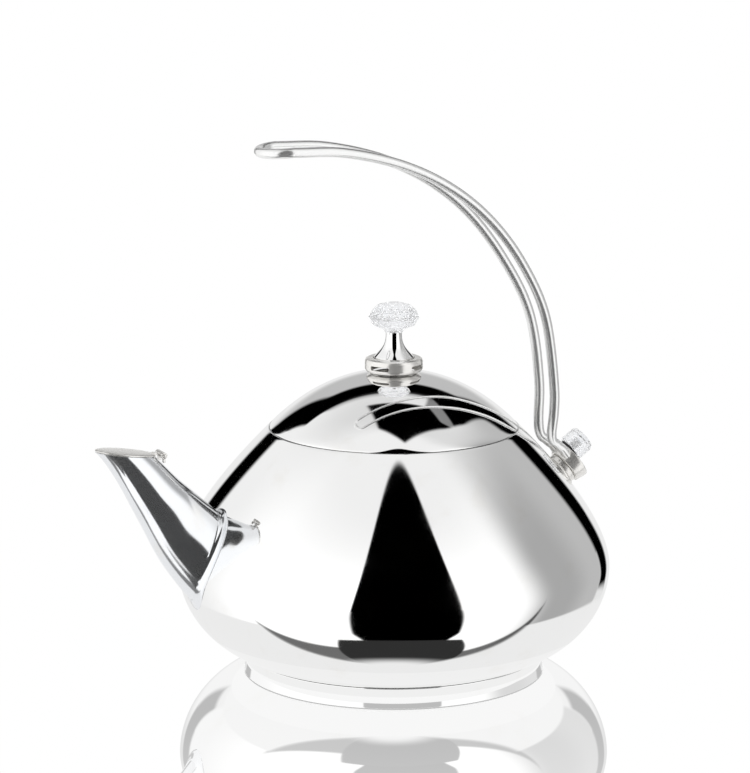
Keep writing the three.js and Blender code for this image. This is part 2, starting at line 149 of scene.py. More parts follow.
UNDER = [(FOOT_RADIUS, FOOT_HEIGHT), (101, 15), (BELLY_RADIUS, BELLY_HEIGHT - 12), (BELLY_RADIUS, BELLY_HEIGHT)]
SHOULDER = [(BELLY_RADIUS, BELLY_HEIGHT), (BELLY_RADIUS, BELLY_HEIGHT + 19),
            (RIM_RADIUS + RIM_PULL, RIM_HEIGHT - RIM_PULL), (RIM_RADIUS, RIM_HEIGHT)]
DOME = [(RIM_RADIUS, RIM_HEIGHT), (RIM_RADIUS - RIM_RISE, RIM_HEIGHT + RIM_RISE), (DOME_ARM, DOME_HEIGHT),
        (0, DOME_HEIGHT)]
SHOULDER_END = 1 - LID_CLEARANCE / (3 * RIM_PULL)
GENTLE_TURN = math.radians(160)
TINY = 1e-6


def rounded(outline, radius, steps=5):
    """A closed outline with its corners eased. Points on the axis and gentle turns stay as they are."""
    outline = [Vector(point) for point in outline]
    eased = []
    for i, corner in enumerate(outline):
        before = outline[i - 1] - corner
        after = outline[(i + 1) % len(outline)] - corner
        on_axis = corner.x < TINY
        doubled = before.length < TINY or after.length < TINY
        if on_axis or doubled or before.angle(after) > GENTLE_TURN:
            eased.append(corner)
            continue
        reach = min(radius / math.tan(before.angle(after) / 2), 0.45 * before.length, 0.45 * after.length)
        start = corner + before.normalized() * reach
        end = corner + after.normalized() * reach
        eased += [bend(start, corner, end, k / steps) for k in range(steps + 1)]
    return eased


def disc(radius, base, top):
    """Outline of a plain disc."""
    return [(0, base), (radius, base), (radius, top), (0, top)]


def ring(inner, outer, base, top):
    """Outline of a plain ring."""
    return [(inner, base), (outer, base), (outer, top), (inner, top)]


# ---------- mesh makers ----------


def new_mesh(name, points, faces, sharp=35):
    """A mesh in metres from points in millimetres; edges that turn by more than sharp degrees stay crisp."""
    mesh = bpy.data.meshes.new(name)
    mesh.from_pydata([Vector(point) * MM for point in points], [], faces)
    bm = bmesh.new()
    bm.from_mesh(mesh)
    bmesh.ops.remove_doubles(bm, verts=bm.verts, dist=1e-7)
    bmesh.ops.recalc_face_normals(bm, faces=bm.faces)
    bm.to_mesh(mesh)
    bm.free()
    soften(mesh, sharp)
    return mesh


def soften(mesh, sharp):
    """Shades a mesh smooth, apart from edges that turn by more than sharp degrees."""
    mesh.polygons.foreach_set("use_smooth", [True] * len(mesh.polygons))
    mesh.set_sharp_from_angle(angle=math.radians(sharp))
    mesh.update()


def turned(name, outline, segments=192, place=Matrix.Identity(4), sharp=35):
    """A solid turned about Z from a closed outline of (radius, height) points, then put in place."""
    points = []
    rings = []
    for radius, height in outline:
        count = 1 if radius < TINY else segments
        rings.append([len(points) + i for i in range(count)])
        for i in range(count):
            angle = 2 * math.pi * i / segments
            points.append(place @ Vector((radius * math.cos(angle), radius * math.sin(angle), height)))
    faces = []
    for here, there in zip(rings, rings[1:] + rings[:1]):
        for i in range(segments):
            j = (i + 1) % segments
            corners = [here[i % len(here)], here[j % len(here)], there[j % len(there)], there[i % len(there)]]
            face = list(dict.fromkeys(corners))
            if len(face) > 2:
                faces.append(face)
    return new_mesh(name, points, faces, sharp)


def lofted(name, rings, closed=False, sharp=35):
    """A solid through equal rings of points. The ends are capped, or joined to each other if closed."""
    count = len(rings[0])
    points = [point for one in rings for point in one]
    faces = []
    bands = len(rings) if closed else len(rings) - 1
    for band in range(bands):
        here = band * count
        there = ((band + 1) % len(rings)) * count
        for i in range(count):
            j = (i + 1) % count
            faces.append([here + i, here + j, there + j, there + i])
    if not closed:
        faces.append(list(range(count)))
        faces.append(list(range((len(rings) - 1) * count, len(rings) * count)))
    return new_mesh(name, points, faces, sharp)


def swept(name, path, radius, sides, hints):
    """A round tube along a path of points; the hints, one to a point, keep its rings from twisting."""
    rings = []
    for i, (point, hint) in enumerate(zip(path, hints)):
        before = path[max(i - 1, 0)]
        after = path[min(i + 1, len(path) - 1)]
        along = (after - before).normalized()
        across = (hint - along * hint.dot(along)).normalized()
        third = along.cross(across)
        angles = [2 * math.pi * k / sides for k in range(sides)]
        spokes = [across * math.cos(angle) + third * math.sin(angle) for angle in angles]
        rings.append([point + spoke * radius for spoke in spokes])
    return lofted(name, rings)


def cut(mesh, *tools, sharp=35):
    """The mesh with other closed meshes cut out of it."""
    for tool in tools:
        block = bpy.data.objects.new("block", mesh)
        cutter = bpy.data.objects.new("cutter", tool)
        for thing in (block, cutter):
            bpy.context.scene.collection.objects.link(thing)
        boolean = block.modifiers.new("cut", "BOOLEAN")
        boolean.object = cutter
        boolean.solver = "EXACT"
        result = bpy.data.meshes.new_from_object(block.evaluated_get(bpy.context.evaluated_depsgraph_get()))
        bpy.data.objects.remove(block)
        bpy.data.objects.remove(cutter)
        mesh = result
    soften(mesh, sharp)
    return mesh


def show(node, mesh, look, *also):
    """Shows a mesh in place of a CAD node, with the look's material, riding on the node's body."""
    slot, material = look
    mesh.name = node + "_fine"
    mesh.materials.clear()
    mesh.materials.append(material)
    piece = bpy.data.objects.new(node + "_fine", mesh)
    bpy.context.scene.collection.objects.link(piece)
    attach(piece, BODY_OF[node])
    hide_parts(node, *also)
    return piece


# ---------- materials ----------


class Nodes:
    """Adds nodes to a tree and joins them up in one call each."""

    def __init__(self, tree):
        self.tree = tree

    def add(self, kind, output, inputs=(), **settings):
        node = self.tree.nodes.new(kind)
        for name, value in settings.items():
            setattr(node, name, value)
        for name, value in dict(inputs).items():
            if isinstance(value, bpy.types.NodeSocket):
                self.tree.links.new(value, node.inputs[name])
            else:
                node.inputs[name].default_value = value
        return node.outputs[output]

    def math(self, operation, *values):
        return self.add("ShaderNodeMath", 0, enumerate(values), operation=operation)

    def step(self, value, start, end, low_value=0.0, high_value=1.0):
        """A smooth change from low_value to high_value as value goes from start to end."""
        inputs = {"Value": value, "From Min": start, "From Max": end, "To Min": low_value, "To Max": high_value}
        return self.add("ShaderNodeMapRange", 0, inputs, interpolation_type="SMOOTHSTEP")

    def blend(self, share, first, second):
        """Mixes two colours."""
        return self.add("ShaderNodeMix", 2, {0: share, 6: first, 7: second}, data_type="RGBA")


def new_material(name):
    """A new material with its surface shader and a helper for its nodes."""
    material = bpy.data.materials.new(name)
    material.use_nodes = True
    shader = material.node_tree.nodes["Principled BSDF"]
    return material, shader, Nodes(material.node_tree)


PLAIN = (0.965, 0.965, 0.962, 1)
TARNISHED = (0.90, 0.885, 0.85, 1)


def silver_look(name, wobble, polish, tint=PLAIN, metal=1.0):
    """Polished silver plate: a slow wobble, hair-fine polishing marks and a trace of warm tarnish.

    The wobble is in millimetres, polish is the roughness, and metal below 1 is a finer, paler gloss.
    """
    material, shader, nodes = new_material(name)
    place = nodes.add("ShaderNodeTexCoord", "Object")
    slow = nodes.add("ShaderNodeTexNoise", "Fac", {"Vector": place, "Scale": 28.0, "Detail": 1.0})
    patches = nodes.add("ShaderNodeTexNoise", "Fac", {"Vector": place, "Scale": 60.0, "Detail": 4.0})
    stretched = nodes.add("ShaderNodeMapping", "Vector", {"Vector": place, "Scale": (300.0, 300.0, 5000.0)})
    marks = nodes.add("ShaderNodeTexNoise", "Fac", {"Vector": stretched, "Scale": 1.0, "Detail": 2.0})
    tarnish = nodes.step(patches, 0.55, 0.8, 0.0, 0.5)
    colour = nodes.blend(tarnish, tint, TARNISHED)
    roughness = nodes.step(patches, 0.35, 0.7, polish, polish + 0.03)
    waves = nodes.add("ShaderNodeBump", "Normal", {"Height": slow, "Strength": 1.0, "Distance": wobble * MM})
    fine = nodes.add("ShaderNodeBump", "Normal",
                     {"Height": marks, "Strength": 0.12, "Distance": 0.0004 * MM, "Normal": waves})
    tree = material.node_tree
    tree.links.new(colour, shader.inputs["Base Color"])
    tree.links.new(roughness, shader.inputs["Roughness"])
    tree.links.new(fine, shader.inputs["Normal"])
    shader.inputs["Metallic"].default_value = metal
    return "silver", material


def fixings_look():
    """Plain bright steel with fine turning marks."""
    material, shader, nodes = new_material("fixing_steel")
    place = nodes.add("ShaderNodeTexCoord", "Object")
    marks = nodes.add("ShaderNodeTexNoise", "Fac", {"Vector": place, "Scale": 900.0, "Detail": 3.0})
    colour = nodes.blend(marks, (0.62, 0.61, 0.60, 1), (0.74, 0.73, 0.71, 1))
    bump = nodes.add("ShaderNodeBump", "Normal", {"Height": marks, "Strength": 0.3, "Distance": 0.02 * MM})
    tree = material.node_tree
    tree.links.new(colour, shader.inputs["Base Color"])
    tree.links.new(nodes.step(marks, 0.3, 0.7, 0.2, 0.34), shader.inputs["Roughness"])
    tree.links.new(bump, shader.inputs["Normal"])
    shader.inputs["Metallic"].default_value = 1.0
    return "fixings", material


def crystal_look():
    """Clear lead crystal, cut all over with small shallow facets that catch the light."""
    material, shader, nodes = new_material("cut_crystal")
    place = nodes.add("ShaderNodeTexCoord", "Object")
    cells = nodes.add("ShaderNodeTexVoronoi", "Distance", {"Vector": place, "Scale": 620.0})
    bump = nodes.add("ShaderNodeBump", "Normal", {"Height": cells, "Strength": 0.8, "Distance": 0.45 * MM})
    colour = nodes.blend(cells, (1.0, 1.0, 1.0, 1), (0.78, 0.80, 0.84, 1))
    tree = material.node_tree
    tree.links.new(colour, shader.inputs["Base Color"])
    tree.links.new(bump, shader.inputs["Normal"])
    shader.inputs["Transmission Weight"].default_value = 1.0
    shader.inputs["IOR"].default_value = 1.5
    shader.inputs["Roughness"].default_value = 0.0
    shader.inputs["Alpha"].default_value = 0.85
    return "crystal", material


def gasket_look():
    """Dark rubber with a dull, slightly grainy face."""
    material, shader, nodes = new_material("dark_rubber")
    place = nodes.add("ShaderNodeTexCoord", "Object")
    grain = nodes.add("ShaderNodeTexNoise", "Fac", {"Vector": place, "Scale": 1500.0, "Detail": 4.0})
    bump = nodes.add("ShaderNodeBump", "Normal", {"Height": grain, "Strength": 0.4, "Distance": 0.05 * MM})
    tree = material.node_tree
    colour = nodes.blend(grain, (0.02, 0.02, 0.021, 1), (0.06, 0.06, 0.062, 1))
    tree.links.new(colour, shader.inputs["Base Color"])
    tree.links.new(nodes.step(grain, 0.3, 0.7, 0.5, 0.7), shader.inputs["Roughness"])
    tree.links.new(bump, shader.inputs["Normal"])
    return "gasket", material


COOL = (0.93, 0.945, 0.97, 1)
WARM = (0.97, 0.955, 0.925, 1)
SILVER = silver_look("silver_plate", wobble=0.004, polish=0.03)
CAST_SILVER = silver_look("silver_plate_worked", wobble=0.02, polish=0.10, tint=COOL, metal=0.9)
ROD_SILVER = silver_look("silver_plate_drawn", wobble=0.01, polish=0.2, metal=0.74)
SMALL_SILVER = silver_look("silver_plate_small_parts", wobble=0.02, polish=0.22, tint=WARM, metal=0.62)
FIXINGS = fixings_look()
CRYSTAL = crystal_look()
GASKET = gasket_look()

# ---------- pot body ----------
SPOUT_STEPS = 64
SPOUT_SIDES = 96
HAMMER_DEPTH = 0.14


def spout_section(t, inset=0.0, sides=SPOUT_SIDES):
    """Oval section of the spout, from the root at 0 to the mouth at 1, with its wall moved inwards by inset."""
    fore = bezier(SPOUT_FORE, t)[0]
    aft = bezier(SPOUT_AFT, t)[0]
    middle = (fore + aft) / 2
    along = aft - fore
    half_depth = along.length / 2 - inset * 1.15
    along.normalize()
    root_share = 1 - t ** 0.9
    half_width = SPOUT_MOUTH_HALF_WIDTH + (SPOUT_ROOT_HALF_WIDTH - SPOUT_MOUTH_HALF_WIDTH) * root_share - inset
    section = []
    for i in range(sides):
        angle = 2 * math.pi * i / sides
        reach = half_depth * math.cos(angle)
        place = middle + along * reach
        section.append(Vector((place.x, half_width * math.sin(angle), place.y)))
    return section


def spout_rings(inset, start, end, steps=SPOUT_STEPS):
    """Sections of the spout from start to end of its length."""
    return [spout_section(start + (end - start) * i / steps, inset) for i in range(steps + 1)]


def pot_outline(inset, steps=48):
    """The pot's section from foot to mouth, moved inwards by inset."""
    return skin(UNDER, steps, inset) + skin(SHOULDER, steps, inset, SHOULDER_END)[1:]


def make_body():
    outline = [Vector((BASE_OPENING, FOOT_HEIGHT))] + pot_outline(0)
    inner = pot_outline(SHELL)[1:]
    outline += inner[::-1] + [Vector((BASE_OPENING, FOOT_HEIGHT + SHELL))]
    body = turned("body", rounded(outline, 0.5), segments=256)
    bore = lofted("bore", spout_rings(SPOUT_WALL, 0, 1, 24))
    show("body_shell", cut(body, bore, stud_hole(STUD_CLEARANCE + 0.1)), SILVER)


def make_foot():
    top = high("foot_ring").z
    outline = [(FOOT_RADIUS - 3, 0), (FOOT_RADIUS - 1.3, 0), (FOOT_RADIUS - 0.2, top), (FOOT_RADIUS - 2.8, top)]
    show("foot_ring", turned("foot", rounded(outline, 0.4)), SILVER)
    plate = FOOT_RADIUS - 3.3
    dished, flat = 2.6, 1.6
    outline = [(0, dished), (plate - 8, dished), (plate - 6, flat), (plate, flat), (plate, top), (0, top)]
    show("base_plate", turned("plate", rounded(outline, 0.5)), SILVER)


def make_mouth_ring():
    seat = high("mouth_ring").z
    bottom = low("mouth_ring").z
    inner, outer, flange, thick = 56.4, 57.6, 62.4, 1.4
    outline = [(inner, seat), (inner, bottom), (outer, bottom), (outer, seat - thick), (flange, seat - thick),
               (flange - 1.3, seat)]
    show("mouth_ring", turned("mouth", rounded(outline, 0.35)), SILVER)


# ---------- spout, its soldered joint and its cover ----------


def pot_radius(height):
    """Radius of the pot's outer skin at a height."""
    outline = pot_outline(0, 96)
    for first, second in zip(outline, outline[1:]):
        if first.y <= height <= second.y:
            share = (height - first.y) / max(second.y - first.y, TINY)
            return first.x + (second.x - first.x) * share
    return RIM_RADIUS


def joint_place(index):
    """How far along the spout one of its long lines leaves the pot, by halving the interval."""
    inside, outside = 0.0, 0.7
    for _ in range(24):
        middle = (inside + outside) / 2
        point = spout_section(middle)[index]
        if math.hypot(point.x, point.y) < pot_radius(point.z):
            inside = middle
        else:
            outside = middle
    return outside


def on_pot(point, lift):
    """The point moved level, to a lift above the pot's skin."""
    reach = pot_radius(point.z) + lift
    level = Vector((point.x, point.y)).normalized() * reach
    return Vector((level.x, level.y, point.z))


def joint_rings():
    """Hollow fillet of solder around the root of the spout, from the spout's side out onto the pot."""
    spread, lift, depth, steps = 3.4, 0.12, 0.6, 6
    profiles = []
    for i in range(SPOUT_SIDES):
        start = joint_place(i)
        root = spout_section(start)[i]
        along = spout_section(start + 0.02)[i] - root
        up_spout = root + along.normalized() * spread
        middle = sum(spout_section(start), Vector()) / SPOUT_SIDES
        outwards = (root - middle).normalized()
        up_spout += outwards * lift
        down_pot = on_pot(root + outwards * spread, lift)
        face = [bend(up_spout, root + outwards * lift, down_pot, k / steps) for k in range(steps + 1)]
        profiles.append(face + [on_pot(down_pot, -depth), on_pot(root, -depth), up_spout - outwards * depth])
    return [list(ring) for ring in zip(*profiles)]


def worked(ring, share):
    """A ring of the spout with the soft unevenness of hammered metal, gone before the lip."""
    middle = sum(ring, Vector()) / len(ring)
    fade = min(1.0, 6 * (1 - share))
    uneven = []
    for i, point in enumerate(ring):
        angle = 2 * math.pi * i / len(ring)
        dent = math.sin(12 * share + angle + 2) + 0.5 * math.sin(23 * share - 2 * angle)
        uneven.append(point + (point - middle).normalized() * (dent - 1) * HAMMER_DEPTH * fade)
    return uneven


def make_spout():
    outer = spout_rings(0, 0.05, 1)
    outer = [worked(ring, i / (len(outer) - 1)) for i, ring in enumerate(outer)]
    inner = spout_rings(SPOUT_WALL, 0.05, 1)[::-1]
    lip = [a.lerp(b, 0.5) + Vector((0, 0, 0.25)) for a, b in zip(outer[-1], inner[0])]
    spout = lofted("spout", outer + [lip] + inner, closed=True)
    pot_section = [Vector((0, FOOT_HEIGHT))] + pot_outline(-0.1) + [Vector((0, RIM_HEIGHT - 1))]
    pot = turned("pot", pot_section)
    show("spout_shell", cut(spout, pot), CAST_SILVER)
    show("spout_joint_ring", lofted("bead", joint_rings(), closed=True, sharp=80), CAST_SILVER)


def make_cover():
    fore = bezier(SPOUT_FORE, 1)[0]
    aft = bezier(SPOUT_AFT, 1)[0]
    middle = (fore + aft) / 2
    slope = math.atan2(fore.y - aft.y, aft.x - fore.x)
    half_length = (aft - fore).length / 2 + 0.1
    half_width = SPOUT_MOUTH_HALF_WIDTH + 0.4
    place = Matrix.Translation((middle.x, 0, middle.y)) @ Matrix.Rotation(slope, 4, "Y")
    crown = [(0.96, 0.35), (0.99, 0.45), (1.0, 0.75), (0.985, 1.05), (0.95, 1.22), (0.8, 1.4), (0.5, 1.5),
             (0.2, 1.55)]
    angles = [2 * math.pi * i / SPOUT_SIDES for i in range(SPOUT_SIDES)]
    rings = []
    for share, rise in crown:
        long, wide = half_length * share, half_width * share
        oval = [Vector((long * math.cos(angle), wide * math.sin(angle), rise)) for angle in angles]
        rings.append([place @ point for point in oval])
    plate = lofted("plate", rings, sharp=50)
    show("spout_cover", plate, SMALL_SILVER)
    hinge_leaf("cover_leaf", "spout_flap", 0, width=3.6, direction=Vector((-1, 0, 0.2)), length=4.4)


PIN_RADIUS = 0.7
PIN_HOLE = PIN_RADIUS + 0.15
BARREL_RADIUS = 1.6
LEAF_HALF_THICKNESS = 0.55


def hinge_barrel(length, offset):
    """A hinge barrel with a hole for the pin, turned about the hinge's own axis."""
    place = Matrix.Translation(HINGE + Vector((0, offset, 0))) @ Matrix.Rotation(math.pi / 2, 4, "X")
    outline = rounded(ring(PIN_HOLE, BARREL_RADIUS, -length / 2, length / 2), 0.2)
    return turned("barrel", outline, 32, place)


def hinge_leaf(name, body, offset, width, direction, length):
    """A barrel round the pin with a leaf that runs from it in a direction."""
    bm = bmesh.new()
    bm.from_mesh(hinge_barrel(width, offset))
    start = HINGE + Vector((0, offset, 0))
    along = direction.normalized()
    across = Vector((0, 1, 0))
    third = along.cross(across)
    corners = [across * a * width / 2 + third * b * LEAF_HALF_THICKNESS
               for a, b in ((-1, -1), (1, -1), (1, 1), (-1, 1))]
    rings = [[start + corner + along * reach for corner in corners] for reach in (PIN_HOLE + 0.3, length)]
    bm.from_mesh(lofted("leaf", rings))
    mesh = bpy.data.meshes.new(name)
    bm.to_mesh(mesh)
    bm.free()
    soften(mesh, 35)
    mesh.materials.append(SMALL_SILVER[1])
    leaf = bpy.data.objects.new(name, mesh)
    bpy.context.scene.collection.objects.link(leaf)
    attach(leaf, body)
    return leaf


def make_hinge():
    lug_offset, lug_width, lug_length = 3.4, 2.4, 3.4
    for node, side in (("hinge_lug_left", -1), ("hinge_lug_right", 1)):
        leaf = hinge_leaf(node + "_fine", "pot", side * lug_offset, width=lug_width,
                          direction=Vector((0.08, 0, -1)), length=lug_length)
        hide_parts(node)
    place = Matrix.Translation(HINGE) @ Matrix.Rotation(math.pi / 2, 4, "X")
    head = [(PIN_RADIUS, 4.7), (0.95, 4.75), (0.95, 5.05), (0.5, 5.4), (0, 5.5)]
    outline = [(radius, -along) for radius, along in reversed(head)] + head
    show("hinge_pin", turned("pin", outline, 32, place), SMALL_SILVER)


# ---------- handle and its bracket ----------
BRACKET_FOOT = bezier(SHOULDER, BRACKET_PLACE)[0]
OUTWARDS = Vector((math.cos(BRACKET_TILT), math.sin(BRACKET_TILT)))
UPWARDS = Vector((-math.sin(BRACKET_TILT), math.cos(BRACKET_TILT)))
BRACKET_FRAME = (Matrix.Translation((BRACKET_FOOT.x, 0, BRACKET_FOOT.y))
                 @ Matrix.Rotation(math.pi / 2 - BRACKET_TILT, 4, "Y"))
BUTTON_FRAME = BRACKET_FRAME @ Matrix.Translation((-BUTTON_SHIFT, 0, 0))


def by_bracket(up_slope, height):
    """Point in the XZ plane, from a distance up the slope and a height out from the body at the bracket."""
    return BRACKET_FOOT + UPWARDS * up_slope + OUTWARDS * height


ROD_SEAT = (COLLAR_BASE + COLLAR_TOP) / 2
# half the distance between the strands at the grip, on the way up and in the collar
GRIP_HALF_SPACING = 12.2
RISE_HALF_SPACING = 8.6
FOOT_HALF_SPACING = 5.6
LOOP_DIP = 0.8
LOOP_CENTRE = Vector((-58, 259.8))
STRAND = [by_bracket(4, ROD_SEAT), by_bracket(8, ROD_SEAT), by_bracket(11, ROD_SEAT), by_bracket(15, 7.4),
          Vector((84.0, 107.6)), Vector((84.5, 132.2)), Vector((78.8, 168.5)), Vector((64.7, 196.9)),
          Vector((46.3, 220.4)), Vector((24.4, 238.0)), Vector((-1.6, 250.6)), Vector((-31.4, 258.2)),
          LOOP_CENTRE]


def ease(value, start, end):
    """0 before start, 1 after end and a smooth rise between."""
    share = min(max((value - start) / (end - start), 0), 1)
    return share * share * (3 - 2 * share)


def spline(points, count):
    """Evenly spaced points on a uniform Catmull-Rom curve through points."""
    ends = [points[0] * 2 - points[1]] + points + [points[-1] * 2 - points[-2]]
    fine = 40
    dense = []
    for a, b, c, d in zip(ends, ends[1:], ends[2:], ends[3:]):
        for i in range(fine):
            t = i / fine
            dense.append((b * 2 + (c - a) * t + (a * 2 - b * 5 + c * 4 - d) * t * t
                          + (b * 3 - a - c * 3 + d) * t ** 3) / 2)
    dense.append(points[-1])
    lengths = [0.0]
    for first, second in zip(dense, dense[1:]):
        lengths.append(lengths[-1] + (second - first).length)
    even = []
    k = 0
    for i in range(count + 1):
        target = lengths[-1] * i / count
        while k < len(dense) - 2 and lengths[k + 1] < target:
            k += 1
        share = (target - lengths[k]) / max(lengths[k + 1] - lengths[k], TINY)
        even.append(dense[k].lerp(dense[k + 1], min(share, 1)))
    return even


def half_spacing(share):
    """Half the distance between the strands, at a share of the way from the collar to the loop."""
    spread_by_rise = (RISE_HALF_SPACING - FOOT_HALF_SPACING) * ease(share, 0.02, 0.12)
    spread_by_grip = (GRIP_HALF_SPACING - RISE_HALF_SPACING) * ease(share, 0.22, 0.5)
    return FOOT_HALF_SPACING + spread_by_rise + spread_by_grip


def rod_path():
    """Up one strand, round the loop and down the other."""
    strand_steps, loop_steps = 220, 48
    strand = [Vector((point.x, -half_spacing(i / strand_steps), point.y))
              for i, point in enumerate(spline(STRAND, strand_steps))]
    loop = []
    for i in range(1, loop_steps):
        angle = math.pi * i / loop_steps
        loop.append(Vector((LOOP_CENTRE.x - GRIP_HALF_SPACING * math.sin(angle),
                            -GRIP_HALF_SPACING * math.cos(angle),
                            LOOP_CENTRE.y - LOOP_DIP * math.sin(angle))))
    back = [Vector((point.x, -point.y, point.z)) for point in reversed(strand)]
    return strand + loop + back


def make_handle():
    path = rod_path()
    hints = []
    for i, point in enumerate(path):
        along = (path[min(i + 1, len(path) - 1)] - path[max(i - 1, 0)]).normalized()
        if abs(along.y) > 0.5:
            hints.append(along.cross(Vector((0, 0, 1))).cross(along))
        else:
            hints.append(Vector((along.z, 0, -along.x)) * (1 if point.y < 0 else -1))
    show("handle_rod", swept("rod", path, ROD_RADIUS, 32, hints), ROD_SILVER)


def stud_hole(clearance):
    """What is drilled through the body and the bracket for the stud."""
    return turned("hole", disc(STUD_RADIUS + clearance, -9, COLLAR_TOP + 1), 48, BUTTON_FRAME)


def make_bracket():
    saddle = rounded(disc(9.5, 0.1, 2.1), 0.9)
    boss = rounded(disc(8.2, 2.2, COLLAR_BASE - 0.1), 0.4)
    foot, rim = 9.4, 10.4
    collar = [(0, COLLAR_BASE), (foot, COLLAR_BASE), (rim, COLLAR_TOP - 1), (rim, COLLAR_TOP), (0, COLLAR_TOP)]
    outlines = {"bracket_saddle": saddle, "bracket_boss": boss, "handle_collar": rounded(collar, 0.6)}
    for node, outline in outlines.items():
        solid = turned(node, outline, 128, BRACKET_FRAME)
        show(node, cut(solid, stud_hole(STUD_CLEARANCE)), SMALL_SILVER)


def make_button():
    """The crystal button, its gasket and the stud that holds them and the bracket."""
    bore = STUD_RADIUS + STUD_CLEARANCE
    gasket = ring(bore, 5.6, COLLAR_TOP + 0.1, COLLAR_TOP + 1.4)
    show("button_gasket", turned("gasket", rounded(gasket, 0.3), 64, BUTTON_FRAME), GASKET)
    base = COLLAR_TOP + 1.6
    top = base + 9.8
    facets = 20
    button = [(0, base + 6.5), (bore, base + 6), (bore, base), (6.6, base), (7.0, base + 0.5), (7.0, top - 2.6),
              (6.2, top - 0.8), (4.2, top - 0.1), (0, top)]
    show("crystal_button", turned("button", button, facets, BUTTON_FRAME, sharp=10), CRYSTAL)
    stud = rounded(disc(STUD_RADIUS, -8.8, base + 5.6), 0.4)
    show("bracket_stud", turned("stud", stud, 48, BUTTON_FRAME), FIXINGS)


# ---------- lid and knob ----------
DRILL_SPAN = (140, 150)  # heights between which the lid is drilled
VENT_RADIUS = 1.6
VENT_CIRCLE = 7.6


def slot_angles():
    """The directions of the slots in the cup and of the vents under them."""
    return [math.radians(SLOT_ANGLE + 360 / SLOT_COUNT * i) for i in range(SLOT_COUNT)]


def lid_outline():
    """The lid's section: its rim turns in over the last of the dome, and its edge slopes with the mouth's."""
    edge = low("lid_shell").z
    turn_in, steps = RIM_RADIUS - 2.6, 10
    dome = [point for point in skin(DOME, 72) if point.x < turn_in]
    foot = Vector((RIM_RADIUS, edge + 1.0))
    corner = Vector((RIM_RADIUS, RIM_HEIGHT))
    rim = [bend(foot, corner, dome[0], i / steps) for i in range(steps)]
    inner = [point for point in skin(DOME, 72, LID_SHELL, 0.985) if point.x > 1 and point.y > edge + 0.4]
    return ([Vector((RIM_RADIUS - 0.1, edge + 0.9))] + rim + dome + [Vector((0, DOME_HEIGHT - LID_SHELL))]
            + inner[::-1] + [Vector((RIM_RADIUS - 1.3, edge))])


def make_lid():
    holes = [turned("hole", disc(POST_RADIUS + 0.5, *DRILL_SPAN), 48)]
    for angle in slot_angles():
        place = Matrix.Translation((VENT_CIRCLE * math.cos(angle), VENT_CIRCLE * math.sin(angle), 0))
        holes.append(turned("vent", disc(VENT_RADIUS, *DRILL_SPAN), 32, place))
    lid = turned("lid", rounded(lid_outline(), 0.5), segments=256)
    show("lid_shell", cut(lid, *holes), SILVER)


def make_skirt():
    base, top = low("lid_skirt").z, high("lid_skirt").z
    inner, outer = 54.9, 56.0
    outline = [(inner, base), (outer, base), (outer, top - 0.8), (inner, top)]
    show("lid_skirt", turned("skirt", rounded(outline, 0.3)), SILVER)


def make_cup():
    wall = 1.2
    well = 10.2
    floor_top, floor_base = CUP_TOP - 1.5, CUP_TOP - 2.3
    outline = [(10.8, CUP_BASE), (12.0, CUP_BASE), (13.8, CUP_BASE + 0.9), (CUP_RADIUS, CUP_BASE + 1.8),
               (CUP_RADIUS, CUP_TOP - 1.6), (CUP_RADIUS - 0.5, CUP_TOP - 0.5), (CUP_RADIUS - 1.6, CUP_TOP),
               (well, CUP_TOP), (well, floor_top), (POST_HOLE, floor_top), (POST_HOLE, floor_base),
               (CUP_RADIUS - wall, floor_base), (CUP_RADIUS - wall, CUP_BASE + 2.2), (12.7, CUP_BASE + 1.5)]
    cup = turned("cup", rounded(outline, 0.45), segments=128)
    show("knob_cup", cut(cup, *cup_slots()), SMALL_SILVER)


def cup_slots():
    """Round-ended bars that cut the slots in the side of the cup."""
    half_length, half_height, height, reach = 5.15, 1.1, 149.2, 2.5
    far = 20  # keeps the outline off the axis, where corners aren't rounded
    bar = [(far - half_length, -half_height), (far + half_length, -half_height),
           (far + half_length, half_height), (far - half_length, half_height)]
    corners = rounded(bar, 0.9, 6)
    slots = []
    for angle in slot_angles():
        place = Matrix.Rotation(angle, 4, "Z") @ Matrix.Translation((CUP_RADIUS, 0, height))
        inner_end = [place @ Vector((-reach, corner.x - far, corner.y)) for corner in corners]
        outer_end = [place @ Vector((reach, corner.x - far, corner.y)) for corner in corners]
        slots.append(lofted("slot", [inner_end, outer_end]))
    return slots


def make_neck():
    """Bell-shaped neck: a straight foot in the cup, then a hollow curve up to the crystal."""
    foot, waist = 9.8, 4.0
    hollow = skin([(foot, CUP_TOP + 0.4), (6.4, CUP_TOP + 4.5), (waist, 158.6), (waist, NECK_TOP - 0.9)], 24)
    outline = ([(POST_HOLE, CUP_TOP - 1.2), (foot, CUP_TOP - 1.2)] + hollow
               + [(waist + 0.2, NECK_TOP), (POST_HOLE, NECK_TOP)])
    show("knob_neck", turned("neck", outline, 128), SILVER)


def make_crystal():
    """Cut crystal head: rings of facet corners, every other ring turned by half a facet."""
    sides = 12
    base = NECK_TOP + 0.3
    rings = [(POST_HOLE, 167.6, 0), (POST_HOLE, base, 0), (4.7, base, 0), (4.7, 166.8, 0), (10.7, 169.6, 1),
             (12.6, 173.1, 0), (10.9, 176.8, 1), (8.2, 179.2, 0), (4.4, CRYSTAL_TOP, 1)]
    corners = []
    for radius, height, twist in rings:
        angles = [2 * math.pi * (i + twist / 2) / sides for i in range(sides)]
        spokes = [Vector((math.cos(angle), math.sin(angle), 0)) for angle in angles]
        corners.append([spoke * radius + Vector((0, 0, height)) for spoke in spokes])
    show("knob_crystal", lofted("crystal", corners, sharp=1), CRYSTAL)


def make_post():
    outline = rounded(disc(POST_RADIUS, low("knob_post").z, high("knob_post").z), 0.3)
    show("knob_post", turned("post", outline, 48), FIXINGS)


